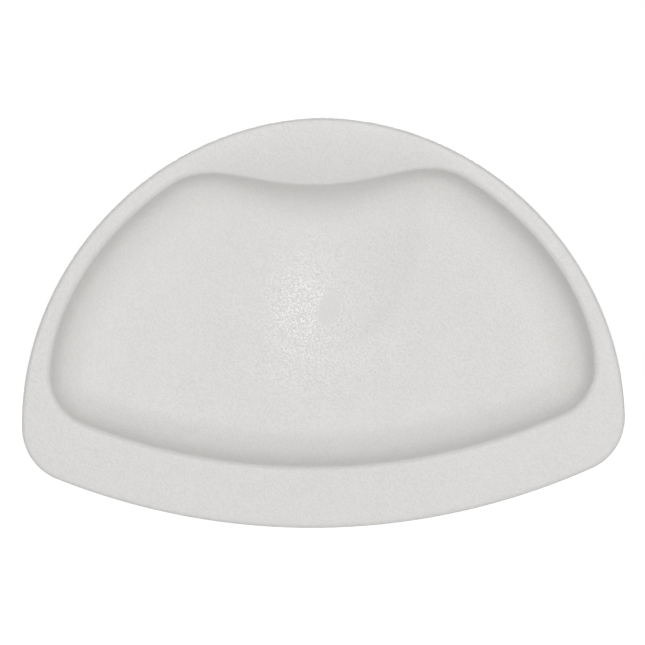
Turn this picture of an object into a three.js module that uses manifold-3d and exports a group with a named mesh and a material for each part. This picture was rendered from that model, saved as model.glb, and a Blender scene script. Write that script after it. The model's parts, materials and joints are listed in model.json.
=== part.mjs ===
// Half-moon bath pillow. A moulded foam headrest with a dished face is held to the wall of a tub
// by six suction cups, whose heads snap into hard sockets in its back.
//
// Millimetres, +Z up, +Y into the wall. The origin lies on the wall plane, behind the middle of the
// pillow. The pillow is drawn in a sheet frame: x across, y up from the lowest point of the belly,
// z out from the back face towards the head.

import * as THREE from 'three';
import { mergeVertices } from 'three/addons/utils/BufferGeometryUtils.js';
import Module from 'manifold-3d';

const wasm = await Module();
wasm.setup();

// Outline: a belly arc, two round corners and a dome
const BODY_WIDTH = 330;
const BODY_HEIGHT = 224.7;
const BODY_DEPTH = 55;
const BELLY_RADIUS = 375.5;
const CORNER_RADIUS = 31;
const DOME_FULLNESS = 1.94;

// Sides and edges
const SIDE_DRAFT = 0.6;
const FRONT_EDGE_RADIUS = 2.2;
const BACK_EDGE_RADIUS = 4;

// Lip of the dish: how far it stands in from the outline, and its own corners and dome
const RIM_SIDE = 16.9;
const RIM_TOP = 8.3;
const RIM_BELOW = 34.5;
const LIP_CORNER_RADIUS = 28;
const LIP_FULLNESS = 1.76;
const LIP_RADIUS = 3.4;

// Brow: the top of the lip dips at the middle, and the rim rolls down to it
const BROW_DROP = 28.9;
const BROW_HALF_WIDTH = 81;
const BROW_FALL = 7;

// Dish: a steep concave wall round a shallow bowl, with a cradle below the brow
const DISH_DEPTH = 23.5;
const WALL_RUN = 26.5;
const WALL_SLOPE = 75;
const BROW_WALL_SLOPE = 64;
const BOWL_RISE = 2.3;
const BOWL_HALF_WIDTH = 120;
const BOWL_HALF_HEIGHT = 60;
const CRADLE_DEPTH = 5;
const CRADLE_HALF_WIDTH = 56;
const CRADLE_STRAIGHT = 16;
const CRADLE_LENGTH = 78;
const CRADLE_SOFTNESS = 0.15;

// Skins and fits
const SKIN = 1.5;
const CLEARANCE = 0.3;
const RUNNING_GAP = 0.5;

// Suction cup, measured from the wall plane
const CUP_RADIUS = 24;
const CUP_HEIGHT = 10.5;
const CUP_WALL = 2.4;
const CUP_LIP = 1.2;
const SEAL_WIDTH = 1.2;
const HOLLOW_DEPTH = 6;
const HUB_RADIUS = 8.5;
const NECK_RADIUS = 4.5;
const HEAD_RADIUS = 6.5;
const HEAD_LENGTH = 4.2;
const HEAD_FLANK = 1.4;
const TAB_WIDTH = 11;
const TAB_LENGTH = 9;
const TAB_THICKNESS = 1.4;
const TAB_LIFT = 0.4;
const TAB_ROOT = 0.8;

// Socket
const SOCKET_LIP = 2.2;
const SOCKET_WALL = 1.6;
const SOCKET_LEAD = 0.8;
const FLANGE_LEDGE = 4.4;
const ANCHOR_LEDGE = 3;
const ANCHOR_THICKNESS = 1.4;

// Places of the cups
const TOP_CUP_BELOW_CROWN = 53;
const LOWER_CUP_ABOVE_BELLY = 60;
const LOWER_CUP_FROM_SIDE = 58;
const MIDDLE_CUP_HALF_SPAN = 62;

// Facets
const BELLY_STEPS = 4;
const CORNER_STEPS = 4;
const DOME_STEPS = 12;
const FLOOR_SHARES = [0.26, 0.52, 0.78];
const WALL_SHARES = [1, 0.5, 0.25, 0.1, 0];
const CUP_SEGMENTS = 24;
const SOCKET_SEGMENTS = 20;
const HOLLOW_STEPS = 5;
const CUP_DOME_STEPS = 6;
const HEAD_STEPS = 2;
const TAB_STEPS = 10;

// Sizes that follow from those above
const halfWidth = BODY_WIDTH / 2;
const lipHalfWidth = halfWidth - RIM_SIDE;
const lipCrown = BODY_HEIGHT - RIM_TOP;
const browHeight = lipCrown - BROW_DROP;
const dishMiddle = new THREE.Vector2(0, (RIM_BELOW + browHeight) / 2);
const foamInset = SKIN + CLEARANCE;
const standoff = CUP_HEIGHT + CLEARANCE;
const neckLength = CLEARANCE + SOCKET_LIP + CLEARANCE;
const boreRadius = NECK_RADIUS + CLEARANCE;
const chamberRadius = HEAD_RADIUS + RUNNING_GAP;
const chamberEnd = SOCKET_LIP + CLEARANCE + HEAD_LENGTH + CLEARANCE;
const barrelRadius = chamberRadius + SOCKET_WALL;
const flangeRadius = barrelRadius + FLANGE_LEDGE;
const anchorRadius = barrelRadius + ANCHOR_LEDGE;
const socketLength = chamberEnd + SOCKET_WALL;

const { lerp, degToRad } = THREE.MathUtils;

// Quarter of a superellipse from its spring line up to its crown, with an optional dip at the crown
class DomeCurve extends THREE.Curve {
  constructor(reach, spring, crown, fullness, dip) {
    super();
    this.reach = reach;
    this.spring = spring;
    this.crown = crown;
    this.power = 2 / fullness;
    this.dip = dip;
  }

  getPoint(share, target = new THREE.Vector2()) {
    const angle = share * Math.PI / 2;
    const x = this.reach * Math.max(Math.cos(angle), 0) ** this.power;
    const y = lerp(this.spring, this.crown, Math.sin(angle) ** this.power);
    return target.set(x, y - this.dip * browShare(x));
  }
}

// One at the middle of the brow, falling smoothly to nothing at its ends
function browShare(x) {
  const along = Math.min(Math.abs(x) / BROW_HALF_WIDTH, 1);
  return (1 - along ** 2) ** 2;
}

// Right half of a closed half-moon outline, from the bottom of the belly up to the crown
function halfMoon({ reach, bottom, crown, cornerRadius, fullness, dip }) {
  const bellyRadius = BELLY_RADIUS - bottom;
  const cornerX = reach - cornerRadius;
  const cornerY = BELLY_RADIUS - Math.sqrt((bellyRadius - cornerRadius) ** 2 - cornerX ** 2);
  const meet = Math.atan2(cornerY - BELLY_RADIUS, cornerX);
  const belly = new THREE.EllipseCurve(0, BELLY_RADIUS, bellyRadius, bellyRadius, -Math.PI / 2, meet);
  const corner = new THREE.EllipseCurve(cornerX, cornerY, cornerRadius, cornerRadius, meet, 0);
  const dome = new DomeCurve(reach, cornerY, crown, fullness, dip);
  return [[belly, BELLY_STEPS], [corner, CORNER_STEPS], [dome, DOME_STEPS]];
}

// Points of a whole half-moon outline with their inward directions, the same number for any half-moon
function outlineStations(shape) {
  const right = [];
  const place = (curve, share) => {
    const tangent = curve.getTangent(share);
    right.push({ point: curve.getPoint(share), inward: new THREE.Vector2(-tangent.y, tangent.x) });
  };
  const pieces = halfMoon(shape);
  for (const [curve, steps] of pieces) {
    for (let step = 0; step < steps; step += 1) place(curve, step / steps);
  }
  place(pieces.at(-1)[0], 1);
  const mirror = (vector) => new THREE.Vector2(-vector.x, vector.y);
  const left = right.slice(1, -1).reverse();
  return [...right, ...left.map(({ point, inward }) => ({ point: mirror(point), inward: mirror(inward) }))];
}

const edgeStations = outlineStations({
  reach: halfWidth,
  bottom: 0,
  crown: BODY_HEIGHT,
  cornerRadius: CORNER_RADIUS,
  fullness: DOME_FULLNESS,
  dip: 0,
});

const lipStations = outlineStations({
  reach: lipHalfWidth,
  bottom: RIM_BELOW,
  crown: lipCrown,
  cornerRadius: LIP_CORNER_RADIUS,
  fullness: LIP_FULLNESS,
  dip: BROW_DROP,
});

// A point that lies a given way in from a station, at a given height above the back face
function stepIn({ point, inward }, way, height) {
  return new THREE.Vector3(point.x + inward.x * way, point.y + inward.y * way, height);
}

// The positive part of a value, with the corner at nothing eased
function softPositive(value, softness) {
  if (value > softness) return value;
  return (Math.max(value, -softness) + softness) ** 2 / (4 * softness);
}

// Height of the dish floor: a shallow bowl, and in it a cradle that runs down from the brow
function floorHeight(x, y) {
  const bowl = (x / BOWL_HALF_WIDTH) ** 2 + ((y - dishMiddle.y) / BOWL_HALF_HEIGHT) ** 2;
  const below = Math.max(browHeight - CRADLE_STRAIGHT - y, 0);
  const cradle = 1 - (x / CRADLE_HALF_WIDTH) ** 2 - (below / CRADLE_LENGTH) ** 2;
  return BODY_DEPTH - DISH_DEPTH + BOWL_RISE * bowl - CRADLE_DEPTH * softPositive(cradle, CRADLE_SOFTNESS);
}

// A point of the face with its outward normal, which leans a given way by an angle from straight out
function facePoint(position, lean, angle) {
  const tilt = Math.sin(angle);
  return { position, normal: new THREE.Vector3(lean.x * tilt, lean.y * tilt, Math.cos(angle)) };
}

// Section of the face at one station, from the floor of the dish out over the rim to the parting line
function faceSection(edge, lip) {
  const brow = lip.point.y > dishMiddle.y ? browShare(lip.point.x) : 0;
  const rimStart = stepIn(edge, SIDE_DRAFT + FRONT_EDGE_RADIUS, BODY_DEPTH);
  const rimRun = Math.hypot(rimStart.x - lip.point.x, rimStart.y - lip.point.y);
  const fall = BROW_FALL * brow;
  const rimAngle = Math.atan2(2 * fall, rimRun);
  const wallAngle = degToRad(lerp(WALL_SLOPE, BROW_WALL_SLOPE, brow));
  const lipRun = LIP_RADIUS * (Math.sin(wallAngle) - Math.sin(rimAngle));
  const lipTop = BODY_DEPTH - fall + LIP_RADIUS * (1 - Math.cos(rimAngle));
  const lipHeight = lipTop - LIP_RADIUS * (1 - Math.cos(wallAngle));
  const foot = stepIn(lip, WALL_RUN, 0);
  const wallFall = lipHeight - floorHeight(lip.point.x, lip.point.y);
  const sharpness = WALL_RUN * Math.tan(wallAngle) / wallFall;
  const outward = edge.inward.clone().negate();

  const section = [];
  for (const share of FLOOR_SHARES) {
    const x = lerp(dishMiddle.x, foot.x, share);
    const y = lerp(dishMiddle.y, foot.y, share);
    section.push(facePoint(new THREE.Vector3(x, y, floorHeight(x, y)), lip.inward, 0));
  }
  for (const share of WALL_SHARES) {
    const wall = stepIn(lip, WALL_RUN * share, 0);
    wall.z = floorHeight(wall.x, wall.y) + wallFall * (1 - share) ** sharpness;
    const steepness = Math.tan(wallAngle) * (1 - share) ** (sharpness - 1);
    section.push(facePoint(wall, lip.inward, Math.atan(steepness)));
  }
  for (const share of [0.5, 0]) {
    const angle = lerp(rimAngle, wallAngle, share);
    const way = LIP_RADIUS * (Math.sin(angle) - Math.sin(rimAngle)) - lipRun;
    const height = lipTop - LIP_RADIUS * (1 - Math.cos(angle));
    section.push(facePoint(stepIn(lip, way, height), lip.inward, angle));
  }
  const rimMiddle = rimStart.clone().lerp(section.at(-1).position, 0.5);
  rimMiddle.z = BODY_DEPTH - fall * 0.5 ** 2;
  section.push(facePoint(rimMiddle, lip.inward, rimAngle / 2));
  for (const angle of [0, Math.PI / 4, Math.PI / 2]) {
    const way = SIDE_DRAFT + FRONT_EDGE_RADIUS * (1 - Math.sin(angle));
    const height = BODY_DEPTH - FRONT_EDGE_RADIUS * (1 - Math.cos(angle));
    section.push(facePoint(stepIn(edge, way, height), outward, angle));
  }
  section.push(facePoint(stepIn(edge, 0, BACK_EDGE_RADIUS + CLEARANCE / 2), outward, Math.PI / 2));
  return section;
}

const faceSections = edgeStations.map((edge, index) => faceSection(edge, lipStations[index]));

// Rings of the face a given way inside its surface, from the middle of the dish out to the parting line
function faceRings(inside) {
  const place = ({ position, normal }) => position.clone().addScaledVector(normal, -inside);
  return faceSections[0].map((_, ring) => faceSections.map((section) => place(section[ring])));
}

// Ring at one inset from the outline and one height above the back face
function edgeRing(inset, height) {
  return edgeStations.map((edge) => stepIn(edge, inset, height));
}

// Closed skin over a row of rings, fanned to a tip in front and a tip behind. Each patch between two
// rings is split along its shorter diagonal, so skins that lie side by side are split alike.
function loft(frontTip, rings, backTip) {
  const count = rings[0].length;
  const points = [frontTip, ...rings.flat(), backTip];
  const backIndex = points.length - 1;
  const triangles = [];
  const at = (ring, station) => 1 + ring * count + station % count;
  const apart = (first, second) => points[first].distanceTo(points[second]);
  for (let station = 0; station < count; station += 1) {
    triangles.push(0, at(0, station), at(0, station + 1));
    for (let ring = 0; ring < rings.length - 1; ring += 1) {
      const [a, b] = [at(ring, station), at(ring + 1, station)];
      const [d, c] = [at(ring, station + 1), at(ring + 1, station + 1)];
      triangles.push(...(apart(a, c) < apart(b, d) ? [a, b, c, a, c, d] : [a, b, d, b, c, d]));
    }
    triangles.push(at(rings.length - 1, station), backIndex, at(rings.length - 1, station + 1));
  }
  const geometry = new THREE.BufferGeometry().setFromPoints(points);
  geometry.setIndex(triangles);
  return geometry;
}

// Solid of a closed geometry, for cutting and joining
function toSolid(geometry) {
  const bare = geometry.clone();
  bare.deleteAttribute('normal');
  bare.deleteAttribute('uv');
  const welded = mergeVertices(bare, 1e-4);
  const vertProperties = new Float32Array(welded.attributes.position.array);
  const triVerts = new Uint32Array(welded.index.array);
  return new wasm.Manifold(new wasm.Mesh({ numProp: 3, vertProperties, triVerts }));
}

// Geometry of a solid, ready for a mesh
function toGeometry(solid) {
  const { vertProperties, triVerts } = solid.getMesh();
  const geometry = new THREE.BufferGeometry();
  geometry.setAttribute('position', new THREE.BufferAttribute(vertProperties, 3));
  geometry.setIndex(new THREE.BufferAttribute(triVerts, 1));
  geometry.computeVertexNormals();
  return geometry;
}

// Turned piece about the sheet frame's z axis, from [radius, height] pairs with its material on the left
function turned(profile, segments) {
  const points = profile.map(([radius, height]) => new THREE.Vector2(radius, height));
  return new THREE.LatheGeometry(points, segments).rotateX(Math.PI / 2);
}

// Places of the six cups, by name
function cupPlaces() {
  const lowerX = halfWidth - LOWER_CUP_FROM_SIDE;
  const topY = BODY_HEIGHT - TOP_CUP_BELOW_CROWN;
  const middleY = (topY + LOWER_CUP_ABOVE_BELLY) / 2;
  return [
    { name: 'top', x: 0, y: topY },
    { name: 'middle_left', x: -MIDDLE_CUP_HALF_SPAN, y: middleY },
    { name: 'middle_right', x: MIDDLE_CUP_HALF_SPAN, y: middleY },
    { name: 'lower_left', x: -lowerX, y: LOWER_CUP_ABOVE_BELLY },
    { name: 'lower_centre', x: 0, y: LOWER_CUP_ABOVE_BELLY },
    { name: 'lower_right', x: lowerX, y: LOWER_CUP_ABOVE_BELLY },
  ];
}

// What is left of a geometry when the same cutter has been taken out at every cup
function cutAtCups(geometry, cutter) {
  const tool = toSolid(cutter);
  const cut = (solid, { x, y }) => solid.subtract(tool.translate([x, y, 0]));
  return toGeometry(cupPlaces().reduce(cut, toSolid(geometry)));
}

function middlePoint(height) {
  return new THREE.Vector3(dishMiddle.x, dishMiddle.y, height);
}

const faceMiddle = floorHeight(dishMiddle.x, dishMiddle.y);

// Dense skin of the face and the sides, open at the back
function frontSkin() {
  const rings = [...faceRings(0), ...faceRings(SKIN).reverse()];
  return toGeometry(toSolid(loft(middlePoint(faceMiddle), rings, middlePoint(faceMiddle - SKIN))));
}

// Soft core that fills the skins, with a pocket round every socket
function foamCore() {
  const bend = Math.max(BACK_EDGE_RADIUS - foamInset, CLEARANCE);
  const corner = foamInset + bend * (1 - Math.SQRT1_2);
  const rings = [
    ...faceRings(foamInset),
    edgeRing(corner, corner),
    edgeRing(foamInset + bend, foamInset),
  ];
  const core = loft(middlePoint(faceMiddle - foamInset), rings, middlePoint(foamInset));
  const ledge = socketLength - ANCHOR_THICKNESS - CLEARANCE;
  const pocket = turned([
    [0, 0],
    [barrelRadius + CLEARANCE, 0],
    [barrelRadius + CLEARANCE, ledge],
    [anchorRadius + CLEARANCE, ledge],
    [anchorRadius + CLEARANCE, socketLength + CLEARANCE],
    [0, socketLength + CLEARANCE],
  ], SOCKET_SEGMENTS);
  return cutAtCups(core, pocket);
}

// Flat skin of the back, a shallow tray with a round edge and a hole for every socket
function backSkin() {
  const bend = Math.max(BACK_EDGE_RADIUS - SKIN, CLEARANCE);
  const innerCorner = SKIN + bend * (1 - Math.SQRT1_2);
  const outerCorner = BACK_EDGE_RADIUS * (1 - Math.SQRT1_2);
  const top = BACK_EDGE_RADIUS - CLEARANCE / 2;
  const rings = [
    edgeRing(SKIN + bend, SKIN),
    edgeRing(innerCorner, innerCorner),
    edgeRing(SKIN, top),
    edgeRing(0, top),
    edgeRing(outerCorner, outerCorner),
    edgeRing(BACK_EDGE_RADIUS, 0),
  ];
  const tray = loft(middlePoint(SKIN), rings, middlePoint(0));
  const hole = turned([
    [0, -SKIN],
    [flangeRadius + CLEARANCE, -SKIN],
    [flangeRadius + CLEARANCE, 2 * SKIN],
    [0, 2 * SKIN],
  ], SOCKET_SEGMENTS);
  return cutAtCups(tray, hole);
}

// Hard socket: a flange in the back skin, a snap lip, a chamber for the head and an anchor in the foam
function socket() {
  return toGeometry(toSolid(turned([
    [0, chamberEnd],
    [chamberRadius, chamberEnd],
    [chamberRadius, SOCKET_LIP],
    [boreRadius, SOCKET_LIP],
    [boreRadius, SOCKET_LEAD],
    [boreRadius + SOCKET_LEAD, 0],
    [flangeRadius, 0],
    [flangeRadius, SKIN],
    [barrelRadius, SKIN],
    [barrelRadius, socketLength - ANCHOR_THICKNESS],
    [anchorRadius, socketLength - ANCHOR_THICKNESS],
    [anchorRadius, socketLength],
    [0, socketLength],
  ], SOCKET_SEGMENTS)));
}

// Points of a quarter-ellipse dome on a base height, from its top down to its edge
function domeArc(radius, rise, base, steps) {
  const arc = [];
  for (let step = 0; step <= steps; step += 1) {
    const angle = Math.PI / 2 * step / steps;
    arc.push([radius * Math.sin(angle), base + rise * Math.cos(angle)]);
  }
  return arc;
}

// Soft suction cup with its hollow on the wall plane, a neck, a snap head and a release tab
function suctionCup() {
  const hollowRadius = CUP_RADIUS - SEAL_WIDTH;
  const domeRise = HOLLOW_DEPTH + CUP_WALL - CUP_LIP;
  const hollow = domeArc(hollowRadius, HOLLOW_DEPTH, 0, HOLLOW_STEPS);
  const dome = domeArc(CUP_RADIUS, domeRise, CUP_LIP, CUP_DOME_STEPS).reverse();
  const headBase = CUP_HEIGHT + neckLength;
  const headTop = domeArc(HEAD_RADIUS, HEAD_LENGTH - HEAD_FLANK, headBase + HEAD_FLANK, HEAD_STEPS);
  const hubBase = CUP_LIP + domeRise * Math.sqrt(1 - (HUB_RADIUS / CUP_RADIUS) ** 2);
  const body = turned([
    ...hollow,
    [CUP_RADIUS, 0],
    ...dome.filter(([radius]) => radius > HUB_RADIUS),
    [HUB_RADIUS, hubBase],
    [HUB_RADIUS, CUP_HEIGHT],
    [NECK_RADIUS, CUP_HEIGHT],
    [NECK_RADIUS, headBase],
    [HEAD_RADIUS, headBase],
    ...headTop.reverse(),
  ], CUP_SEGMENTS);

  const root = CUP_RADIUS - TAB_ROOT;
  const end = CUP_RADIUS + TAB_LENGTH - TAB_WIDTH / 2;
  const outline = new THREE.Shape();
  outline.moveTo(TAB_WIDTH / 2, -root);
  outline.lineTo(-TAB_WIDTH / 2, -root);
  outline.lineTo(-TAB_WIDTH / 2, -end);
  outline.absarc(0, -end, TAB_WIDTH / 2, Math.PI, 2 * Math.PI, false);
  outline.closePath();
  const tabShape = { depth: TAB_THICKNESS, bevelEnabled: false, curveSegments: TAB_STEPS };
  const tab = new THREE.ExtrudeGeometry(outline, tabShape);
  tab.translate(0, 0, TAB_LIFT);
  return toGeometry(toSolid(body).add(toSolid(tab)));
}

function finish(colour, roughness) {
  return new THREE.MeshStandardMaterial({ color: colour, roughness, metalness: 0 });
}

function addPiece(parent, name, geometry, material) {
  const mesh = new THREE.Mesh(geometry, material);
  mesh.name = name;
  parent.add(mesh);
  return mesh;
}

const skinFinish = finish('#dbdad8', 0.55);
const foamFinish = finish('#ece7da', 0.95);
const socketFinish = finish('#e6e6e3', 0.4);
const cupFinish = finish('#d5dfe2', 0.2);

const pillow = new THREE.Group();
pillow.rotation.x = Math.PI / 2;
pillow.position.set(0, -standoff, -BODY_HEIGHT / 2);
addPiece(pillow, 'front_skin', frontSkin(), skinFinish);
addPiece(pillow, 'foam_core', foamCore(), foamFinish);
addPiece(pillow, 'back_skin', backSkin(), skinFinish.clone());

const socketShape = socket();
const cupShape = suctionCup();
for (const { name, x, y } of cupPlaces()) {
  addPiece(pillow, `socket_${name}`, socketShape, socketFinish.clone()).position.set(x, y, 0);
  addPiece(pillow, `suction_cup_${name}`, cupShape, cupFinish.clone()).position.set(x, y, -standoff);
}

const bathPillow = new THREE.Group();
bathPillow.add(pillow);

export default bathPillow;
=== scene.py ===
"""Half-moon bath pillow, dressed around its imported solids.

A moulded face with a dish for the head, a flat back with a round edge, a foam core between
them, and six soft suction cups that snap into hard sockets in the back.

Lengths are metres in the part's own frame: +X to the right, +Y into the wall of the tub and
+Z up, with the wall plane at y = 0. The skins are drawn in a sheet frame: x across, y up from
the lowest point of the belly, and a height out from the back face towards the head.
"""

import json
import logging
import math
from dataclasses import dataclass, field
from enum import Enum

import bpy
import numpy as np
from mathutils import Matrix, Vector


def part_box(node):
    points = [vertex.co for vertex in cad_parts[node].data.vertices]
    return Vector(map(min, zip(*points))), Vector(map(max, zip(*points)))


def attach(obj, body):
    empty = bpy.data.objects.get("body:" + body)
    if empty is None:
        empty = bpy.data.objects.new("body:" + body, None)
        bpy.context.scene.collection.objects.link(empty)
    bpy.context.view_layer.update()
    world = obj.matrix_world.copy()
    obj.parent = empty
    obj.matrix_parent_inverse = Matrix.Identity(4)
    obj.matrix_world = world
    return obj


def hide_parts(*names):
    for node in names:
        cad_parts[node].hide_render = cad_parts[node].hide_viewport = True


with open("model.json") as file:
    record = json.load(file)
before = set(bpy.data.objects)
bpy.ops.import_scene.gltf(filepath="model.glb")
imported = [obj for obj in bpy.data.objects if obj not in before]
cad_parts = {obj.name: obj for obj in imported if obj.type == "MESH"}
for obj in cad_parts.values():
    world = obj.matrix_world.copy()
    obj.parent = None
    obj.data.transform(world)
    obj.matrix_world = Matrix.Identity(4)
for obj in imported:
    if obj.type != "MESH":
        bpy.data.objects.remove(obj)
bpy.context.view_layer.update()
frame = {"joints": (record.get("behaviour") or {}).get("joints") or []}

FULL_TURN = 2 * math.pi
QUARTER_TURN = math.pi / 2
SMOOTH_ANGLE = math.radians(35)
MERGE_DISTANCE = 1e-6
FIRM_FILL = 0.95

# Parts of one step of a dome; its tangents are taken over two of them.
NUDGE_PARTS = 100
# The usual range of a noise texture and its middle.
NOISE_LOW, NOISE_MIDDLE, NOISE_HIGH = 0.3, 0.5, 0.7
# Places of the colour sockets of a mix node, whose names aren't unique.
MIX_FIRST, MIX_SECOND, MIX_RESULT = 6, 7, 2

Numbers = np.ndarray | float
Colour = tuple[float, float, float, float]
Profile = list[tuple[float, float]]
Corners = list[tuple[float, float, float]]

WHITE: Colour = (1.0, 1.0, 1.0, 1.0)

log = logging.getLogger("bath_pillow")


def lerp(start: Numbers, end: Numbers, share: Numbers) -> Numbers:
    """Gives the value a share of the way from start to end."""
    return start + (end - start) * share


def soft_positive(value: np.ndarray, soft: float) -> np.ndarray:
    """Gives the positive part of a value, with the corner at 0 eased from -soft to soft."""
    eased = (np.clip(value, -soft, soft) + soft) ** 2 / (4 * soft)
    return np.where(value > soft, value, eased)


class Slot(Enum):
    """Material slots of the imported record."""

    FACE = "face_skin"
    FOAM = "foam"
    BACK = "back_skin"
    SOCKET = "socket"
    CUP = "suction_cup"


class CupPlace(Enum):
    """The six places of the suction cups."""

    TOP = "top"
    MIDDLE_LEFT = "middle_left"
    MIDDLE_RIGHT = "middle_right"
    LOWER_LEFT = "lower_left"
    LOWER_CENTRE = "lower_centre"
    LOWER_RIGHT = "lower_right"

    @property
    def body(self) -> str:
        """Name of the body that turns with this cup."""
        return f"cup_{self.value}"

    @property
    def centre(self) -> Vector:
        """Point of the wall plane behind this cup, from the axis of its swivel."""
        x, _, z = next(joint["pos_m"] for joint in frame["joints"] if joint["child"] == self.body)
        return Vector((x, 0.0, z))


@dataclass(frozen=True)
class OutlineSteps:
    """Steps that each stretch of half an outline is divided into; together a multiple of four."""

    belly: int = 30
    corner: int = 26
    dome: int = 104

    @property
    def around(self) -> int:
        """Stations round the whole outline."""
        return 2 * (self.belly + self.corner + self.dome)


@dataclass(frozen=True)
class FaceSteps:
    """Rows that each stretch of the face's section is divided into."""

    floor: int = 12
    wall: int = 30
    lip: int = 9
    rim: int = 10
    edge: int = 8
    side: int = 6
    parting: int = 3


@dataclass(frozen=True)
class Stations:
    """Points round a closed outline and their inward directions, as arrays of shape (n, 2)."""

    points: np.ndarray
    inward: np.ndarray

    def step_in(self, way: Numbers, height: Numbers) -> np.ndarray:
        """Finds the points a given way in from the outline, at a given height.

        Args:
            way: Distance inward, one for all stations or one each.
            height: Height above the back face, one for all stations or one each.

        Returns:
            An array of shape (n, 3).
        """
        count = len(self.points)
        plan = self.points + self.inward * np.broadcast_to(way, count)[:, None]
        return np.column_stack([plan, np.broadcast_to(height, count)])


@dataclass(frozen=True)
class HalfMoon:
    """Closed half-moon outline: a belly arc, two round corners and a dome.

    The belly arcs of all outlines share one centre. A dip draws the top of the dome down.
    """

    reach: float
    bottom: float
    crown: float
    belly_radius: float
    corner_radius: float
    fullness: float
    dip: float = 0.0
    dip_half_width: float = 1.0

    def dip_share(self, x: np.ndarray) -> np.ndarray:
        """Gives 1 at the middle of the dip, falling smoothly to 0 at its ends."""
        along = np.minimum(np.abs(x) / self.dip_half_width, 1)
        return (1 - along**2) ** 2

    def _dome(self, angle: np.ndarray, spring: float) -> np.ndarray:
        """Gives points of the dome, a quarter superellipse above its spring line.

        Args:
            angle: One angle for each point, from 0 at the spring line to a quarter turn at the crown.
            spring: Height of the spring line.

        Returns:
            The points, of shape (n, 2).
        """
        power = 2 / self.fullness
        x = self.reach * np.clip(np.cos(angle), 0, 1) ** power
        y = lerp(spring, self.crown, np.clip(np.sin(angle), 0, 1) ** power)
        return np.column_stack([x, y - self.dip * self.dip_share(x)])

    def stations(self, steps: OutlineSteps) -> Stations:
        """Walks the outline once, from the bottom of the belly round by the right.

        Args:
            steps: Steps of each stretch of the right half; the left half mirrors it.

        Returns:
            The stations, as many for any half-moon.
        """
        middle = self.belly_radius
        belly_radius = middle - self.bottom
        corner_x = self.reach - self.corner_radius
        corner_y = middle - math.sqrt((belly_radius - self.corner_radius) ** 2 - corner_x**2)
        meet = math.atan2(corner_y - middle, corner_x)

        belly = np.linspace(-QUARTER_TURN, meet, steps.belly, endpoint=False)
        belly_out = np.column_stack([np.cos(belly), np.sin(belly)])
        corner = np.linspace(meet, 0, steps.corner, endpoint=False)
        corner_out = np.column_stack([np.cos(corner), np.sin(corner)])
        angle = np.linspace(0, QUARTER_TURN, steps.dome + 1)
        dome = self._dome(angle, corner_y)
        nudge = QUARTER_TURN / steps.dome / NUDGE_PARTS
        ahead = self._dome(np.minimum(angle + nudge, QUARTER_TURN), corner_y)
        tangent = ahead - self._dome(np.maximum(angle - nudge, 0), corner_y)
        tangent /= np.linalg.norm(tangent, axis=1, keepdims=True)
        dome_out = np.column_stack([tangent[:, 1], -tangent[:, 0]])

        points = np.vstack([
            [0.0, middle] + belly_radius * belly_out,
            [corner_x, corner_y] + self.corner_radius * corner_out,
            dome,
        ])
        inward = -np.vstack([belly_out, corner_out, dome_out])
        inward[-1] = (0.0, -1.0)
        mirror = np.array([-1.0, 1.0])
        return Stations(
            np.vstack([points, points[-2:0:-1] * mirror]),
            np.vstack([inward, inward[-2:0:-1] * mirror]),
        )


@dataclass(frozen=True)
class Cap:
    """One side of a skin: rows of rings from the middle outwards, round a square block of points."""

    rows: list[np.ndarray]
    block: np.ndarray

    @property
    def around(self) -> int:
        """Stations in each ring."""
        return len(self.rows[0])

    @property
    def points(self) -> np.ndarray:
        """All points, the rings first."""
        return np.vstack([*self.rows, self.block])

    @staticmethod
    def corner_walk(around: int) -> np.ndarray:
        """Gives the stations in order, starting at the block's lower left corner."""
        return (np.arange(around + 1) - around // 8) % around

    @staticmethod
    def fill_block(ring: np.ndarray) -> np.ndarray:
        """Fills the inside of a ring with a square grid of points.

        Args:
            ring: Points of the innermost ring, of shape (n, 2) with n a multiple of eight.

        Returns:
            The points inside, row by row from the bottom, of shape ((n / 4 - 1) ** 2, 2).
        """
        side = len(ring) // 4
        walk = ring[Cap.corner_walk(len(ring))]
        bottom, right = walk[: side + 1], walk[side : 2 * side + 1]
        top, left = walk[2 * side : 3 * side + 1][::-1], walk[3 * side :][::-1]
        share = np.linspace(0, 1, side + 1)
        across, up = np.meshgrid(share, share)
        across, up = across[..., None], up[..., None]
        between_ends = lerp(bottom[None], top[None], up)
        between_sides = lerp(left[:, None], right[:, None], across)
        corners = lerp(lerp(bottom[0], bottom[-1], across), lerp(top[0], top[-1], across), up)
        return (between_ends + between_sides - corners)[1:-1, 1:-1].reshape(-1, 2)

    def faces(self) -> np.ndarray:
        """Gives the quads of the cap as indices into its points, facing the head.

        Returns:
            An array of shape (n, 4), the rings first.
        """
        around, count = self.around, len(self.rows)
        ring = np.arange(count * around).reshape(count, around)
        turned = np.roll(ring, -1, axis=1)
        rings = np.stack([ring[:-1], ring[1:], turned[1:], turned[:-1]], axis=-1)
        side = around // 4
        grid = np.empty((side + 1, side + 1), int)
        inside = count * around + np.arange((side - 1) ** 2)
        grid[1:-1, 1:-1] = inside.reshape(side - 1, side - 1)
        walk = self.corner_walk(around)
        grid[0, :] = walk[: side + 1]
        grid[:, side] = walk[side : 2 * side + 1]
        grid[side, ::-1] = walk[2 * side : 3 * side + 1]
        grid[::-1, 0] = walk[3 * side :]
        block = np.stack([grid[:-1, :-1], grid[:-1, 1:], grid[1:, 1:], grid[1:, :-1]], axis=-1)
        return np.vstack([rings.reshape(-1, 4), block.reshape(-1, 4)])


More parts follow.
